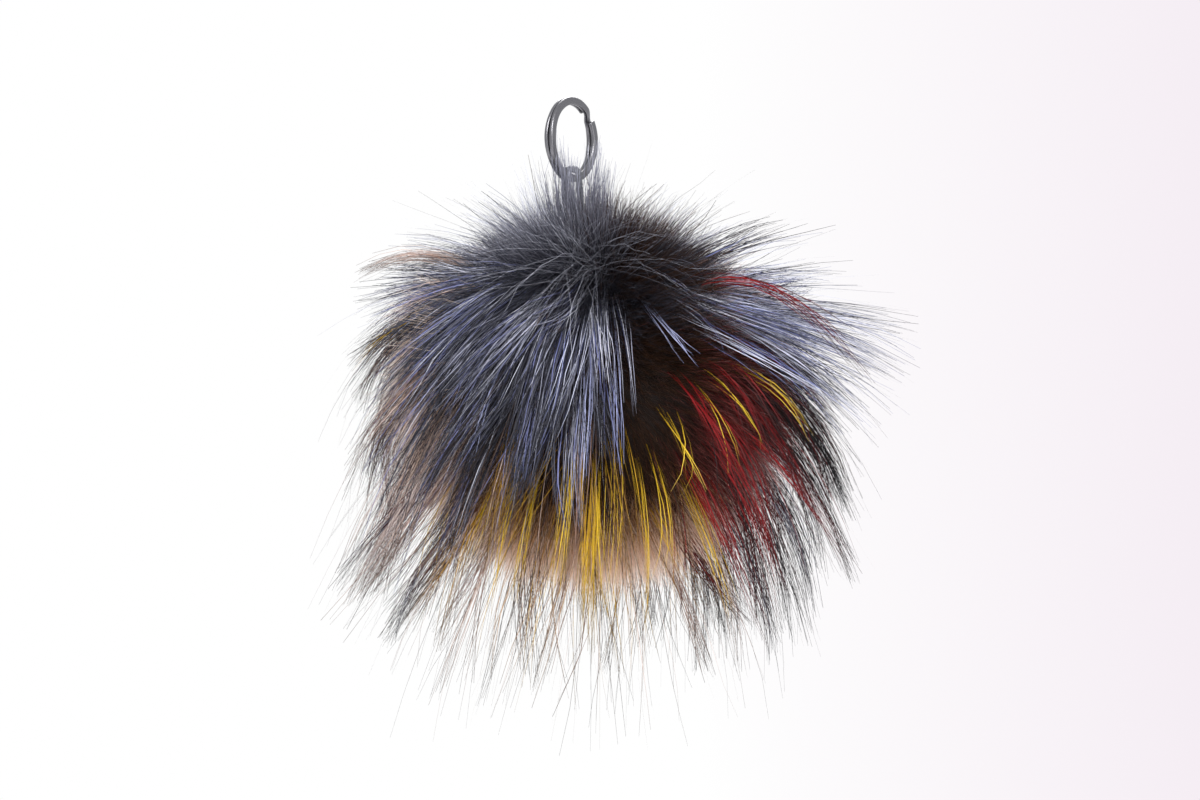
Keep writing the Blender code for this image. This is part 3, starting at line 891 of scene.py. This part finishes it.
def add_speckle(nodes, links, scale, detail, dark, pale):
    """Colours the shader by noise, between two (position, colour) stops, and gives the noise's value."""
    noise = nodes.new("ShaderNodeTexNoise")
    set_inputs(noise, {"Scale": scale, "Detail": detail})
    ramp = add_ramp(nodes, (dark, pale))
    links.new(noise.outputs["Fac"], ramp.inputs["Fac"])
    links.new(ramp.outputs["Color"], nodes["Principled BSDF"].inputs["Base Color"])
    return noise.outputs["Fac"]


def add_bump(nodes, links, height, strength, distance):
    """Raises the shader's surface by a value."""
    bump = nodes.new("ShaderNodeBump")
    set_inputs(bump, {"Strength": strength, "Distance": distance})
    links.new(height, bump.inputs["Height"])
    links.new(bump.outputs["Normal"], nodes["Principled BSDF"].inputs["Normal"])


def hair_material():
    """Dyed hair, which brings its own colour from root to tip, with the painted shade and painted backlight
    of two down tints.
    """
    made, nodes, links = new_material("dyed_hair")
    shader = nodes["Principled BSDF"]
    tint = nodes.new("ShaderNodeAttribute")
    tint.attribute_name = "Tint"
    links.new(tint.outputs["Color"], shader.inputs["Base Color"])
    set_inputs(shader, {"Roughness": 0.5, "Specular IOR Level": 0.14})
    return made


def pelt_shade_material():
    """The felted base of the underfur, near black as painted shade: it shows only as dark depth between
    hairs.
    """
    made, nodes, links = new_material("pelt")
    # near-black speckle: painted shade of the fur's depths
    add_speckle(nodes, links, 220, 6, (0, (0.006, 0.004, 0.004)), (1, (0.022, 0.014, 0.011)))
    set_inputs(nodes["Principled BSDF"], {"Roughness": 0.95})
    return made


def gunmetal_material():
    """Dark plated steel, finely mottled and rubbed."""
    made, nodes, links = new_material("gunmetal_plate")
    shader = nodes["Principled BSDF"]
    set_inputs(shader, {"Metallic": 1.0})
    grain = add_speckle(nodes, links, 900, 5, (0.35, (0.15, 0.148, 0.155)), (0.75, (0.32, 0.315, 0.33)))
    gloss = nodes.new("ShaderNodeMapRange")
    set_inputs(gloss, {"To Min": 0.22, "To Max": 0.42})
    links.new(grain, gloss.inputs["Value"])
    links.new(gloss.outputs["Result"], shader.inputs["Roughness"])
    add_bump(nodes, links, grain, 0.12, 0.1 * MM)
    return made


def cord_material():
    """Dark grey spun yarn, with a fine fibrous grain."""
    made, nodes, links = new_material("cord_yarn")
    fibres = add_speckle(nodes, links, 2600, 4, (0.3, (0.06, 0.062, 0.072)), (0.75, (0.20, 0.205, 0.235)))
    set_inputs(nodes["Principled BSDF"], {"Roughness": 0.85, "Sheen Weight": 0.3})
    add_bump(nodes, links, fibres, 0.5, 0.2 * MM)
    return made


# ---------------- ring, loop and pelt


def wire_path():
    """The middle of the ring's wire: one turn, a crossing at its upper right, and the other turn."""
    start, end = CROSSING / 2, 4 * math.pi - CROSSING / 2
    points = []
    for station in range(STATIONS + 1):
        turned = start + (end - start) * station / STATIONS
        angle = turned + CROSSING_AT
        crossed = smooth_step((turned - 2 * math.pi) / CROSSING + 0.5)
        sprung = abs(math.cos(angle)) ** SPRUNG_POWER
        pitch = PITCH_CLOSED + (PITCH_SPRUNG - PITCH_CLOSED) * sprung
        spoke = RING_ACROSS * math.cos(angle) + Vector((0, 0, math.sin(angle)))
        points.append(RING_CENTRE + spoke * RING_RADIUS + RING_AXIS * pitch * (crossed - 0.5))
    return points


def loop_path():
    """The middle of the cord: up one leg, over the ring's lowest wires and down the other leg."""
    arch_middle = Vector((0, 0, WIRE_WIDE / 2 - RING_OUTER))
    foot = Vector(BALL_CENTRE) + foot_direction() * (BALL_RADIUS + CLEARANCE)
    legs = []
    for side in (-1, 1):
        leg = []
        for step in range(LEG_STEPS):
            share = step / LEG_STEPS
            half = LEG_APART / 2 + (ARCH_HALF - LEG_APART / 2) * smooth_step(share)
            leg.append(foot.lerp(arch_middle, share) + RING_AXIS * side * half)
        legs.append(leg)
    arch = []
    for step in range(ARCH_STEPS + 1):
        angle = math.pi * (1 - step / ARCH_STEPS)
        across = math.copysign(abs(math.cos(angle)) ** ARCH_SQUARE, math.cos(angle))
        up = math.sin(angle) ** ARCH_SQUARE
        arch.append(arch_middle + RING_AXIS * ARCH_HALF * across + Vector((0, 0, ARCH_RISE * up)))
    return legs[0] + arch + legs[1][::-1]


def round_section(radius, sides):
    """Corners of a round section."""
    turns = [2 * math.pi * corner / sides for corner in range(sides)]
    return [(radius * math.cos(turn), radius * math.sin(turn)) for turn in turns]


def flat_section(thick, wide, edge):
    """Corners of a flat section whose edges are rounded."""
    corners = []
    for across, along, start in ((1, 1, 0), (-1, 1, 90), (-1, -1, 180), (1, -1, 270)):
        middle = (across * (thick / 2 - edge), along * (wide / 2 - edge))
        for turn in (0, 30, 60, 90):
            angle = math.radians(start + turn)
            corners.append((middle[0] + edge * math.cos(angle), middle[1] + edge * math.sin(angle)))
    return corners


def frames_along(path, guide):
    """(point, along, first, second) at each point of a path, with first towards the guide."""
    for number, point in enumerate(path):
        before = path[max(number - 1, 0)]
        after = path[min(number + 1, len(path) - 1)]
        along = (after - before).normalized()
        first = (guide - along * guide.dot(along)).normalized()
        yield point, along, first, along.cross(first)


def add_tube(shape, path, section, guide):
    """A closed bar along a path. Its section's first axis points towards the guide."""
    rings = []
    for point, _, first, second in frames_along(path, guide):
        rings.append([shape.verts.new(point + first * across + second * up) for across, up in section])
    sides = len(section)
    for lower, upper in zip(rings, rings[1:]):
        for corner in range(sides):
            following = (corner + 1) % sides
            shape.faces.new((lower[corner], lower[following], upper[following], upper[corner]))
    shape.faces.new(rings[0][::-1])
    shape.faces.new(rings[-1])


def add_object(name, shape, finish, node):
    """Turns a bmesh into a smooth piece that stands for a CAD node."""
    bmesh.ops.recalc_face_normals(shape, faces=shape.faces)
    mesh = bpy.data.meshes.new(name)
    shape.to_mesh(mesh)
    shape.free()
    mesh.shade_smooth()
    mesh.materials.append(finish)
    made = link_object(name, mesh)
    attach(made, "root")
    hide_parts(node)


def make_ring():
    shape = bmesh.new()
    add_tube(shape, wire_path(), flat_section(WIRE_THICK, WIRE_WIDE, WIRE_EDGE), RING_AXIS)
    add_object("ring_wire", shape, gunmetal_material(), "split_ring")


def make_loop():
    """Strands that twist round the cord's middle."""
    shape = bmesh.new()
    path = loop_path()
    across = RING_AXIS.cross(Vector((0, 0, 1)))
    for strand in range(STRANDS):
        gone = 0.0
        before = path[0]
        twisted = []
        for point, _, first, second in frames_along(path, across):
            gone += (point - before).length
            before = point
            angle = 2 * math.pi * (gone / TWIST_LENGTH + strand / STRANDS)
            offset = first * math.cos(angle) + second * math.sin(angle)
            twisted.append(point + offset * (CORD / 2 - STRAND_RADIUS))
        add_tube(shape, twisted, round_section(STRAND_RADIUS, STRAND_SIDES), across)
    add_object("loop_cord", shape, cord_material(), "hanging_loop")


def make_pelt():
    """The matted underfur that the hairs stand in, thin under the loop and thicker below."""
    shape = bmesh.new()
    bmesh.ops.create_icosphere(shape, subdivisions=PELT_DIVISIONS, radius=1)
    for vert in shape.verts:
        matted = MATTED * smooth_step((MATTED_BELOW - vert.co.z) / MATTED_OVER)
        vert.co = Vector(BALL_CENTRE) + vert.co * (BALL_RADIUS + matted)
    add_object("pelt", shape, pelt_shade_material(), "pompom")


# ---------------- studio


def make_world():
    """A sky that the camera sees as the photograph's backdrop, and a softer light from it."""
    world = bpy.data.worlds.new("studio")
    bpy.context.scene.world = world
    world.use_nodes = True
    nodes, links = world.node_tree.nodes, world.node_tree.links
    light = nodes["Background"]
    set_inputs(light, {"Color": SKY_COLOUR, "Strength": SKY_STRENGTH})
    backdrop = nodes.new("ShaderNodeBackground")
    facing = nodes.new("ShaderNodeTexCoord")
    split = nodes.new("ShaderNodeSeparateXYZ")
    links.new(facing.outputs["Generated"], split.inputs["Vector"])
    ramp = add_ramp(nodes, BACKDROP)
    spread = nodes.new("ShaderNodeMapRange")
    set_inputs(spread, {"From Min": BACKDROP_FROM})
    links.new(split.outputs["X"], spread.inputs["Value"])
    links.new(spread.outputs["Result"], ramp.inputs["Fac"])
    links.new(ramp.outputs["Color"], backdrop.inputs["Color"])
    seen = nodes.new("ShaderNodeLightPath")
    mix = nodes.new("ShaderNodeMixShader")
    links.new(seen.outputs["Is Camera Ray"], mix.inputs["Fac"])
    links.new(light.outputs["Background"], mix.inputs[1])
    links.new(backdrop.outputs["Background"], mix.inputs[2])
    links.new(mix.outputs["Shader"], nodes["World Output"].inputs["Surface"])


def make_floor():
    """A pale paper floor, well below the object, that glows a little and so blends into the backdrop."""
    mesh = bpy.data.meshes.new("floor")
    sides = ((-1, -1), (1, -1), (1, 1), (-1, 1))
    corners = [(across * FLOOR_HALF, away * FLOOR_HALF, FLOOR_LEVEL) for across, away in sides]
    mesh.from_pydata(corners, [], [(0, 1, 2, 3)])
    paper, nodes, _ = new_material("pale_floor")
    shader = nodes["Principled BSDF"]
    set_inputs(shader, {"Base Color": FLOOR_COLOUR, "Roughness": 0.9})
    set_inputs(shader, {"Emission Color": (1, 1, 1, 1), "Emission Strength": FLOOR_GLOW})
    mesh.materials.append(paper)
    floor = link_object("floor", mesh)


def make_light(light):
    """A square soft light that faces the ball."""
    data = bpy.data.lights.new(light["name"], "AREA")
    data.size = light["size"]
    data.energy = light["power"]
    made = link_object(light["name"], data)
    made.location = light["place"]
    aim = Vector(BALL_CENTRE) - Vector(light["place"])
    made.rotation_euler = aim.to_track_quat("-Z", "Y").to_euler()


def make_camera():
    """The camera that frames the object as the photograph does, and its colours as they are."""
    data = bpy.data.cameras.new("camera")
    data.sensor_width = SENSOR
    data.lens = SENSOR * CAMERA_DISTANCE / (PHOTO_WIDTH * PIXEL)
    data.clip_start, data.clip_end = 0.01, 20
    camera = link_object("camera", data)
    across = (PHOTO_WIDTH / 2 - RING_TOP_PIXEL[0]) * PIXEL
    up = (RING_TOP_PIXEL[1] - PHOTO_HEIGHT / 2) * PIXEL
    camera.location = (across, -CAMERA_DISTANCE, up)
    camera.rotation_euler = (math.pi / 2, 0, 0)
    bpy.context.scene.camera = camera
    bpy.context.scene.view_settings.view_transform = "Standard"


def make_studio():
    make_world()
    make_floor()
    for row in LIGHTS:
        make_light(dict(zip(LIGHT_COLUMNS, row)))
    make_camera()


def main():
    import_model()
    make_studio()
    rng = np.random.default_rng(SEED)
    hair = hair_material()
    make_ring()
    make_loop()
    make_pelt()
    grow_down(rng, hair)
    grow_guard_hairs(rng, hair)
    grow_wisps(rng, hair)
    grow_whorl(rng, hair)


main()
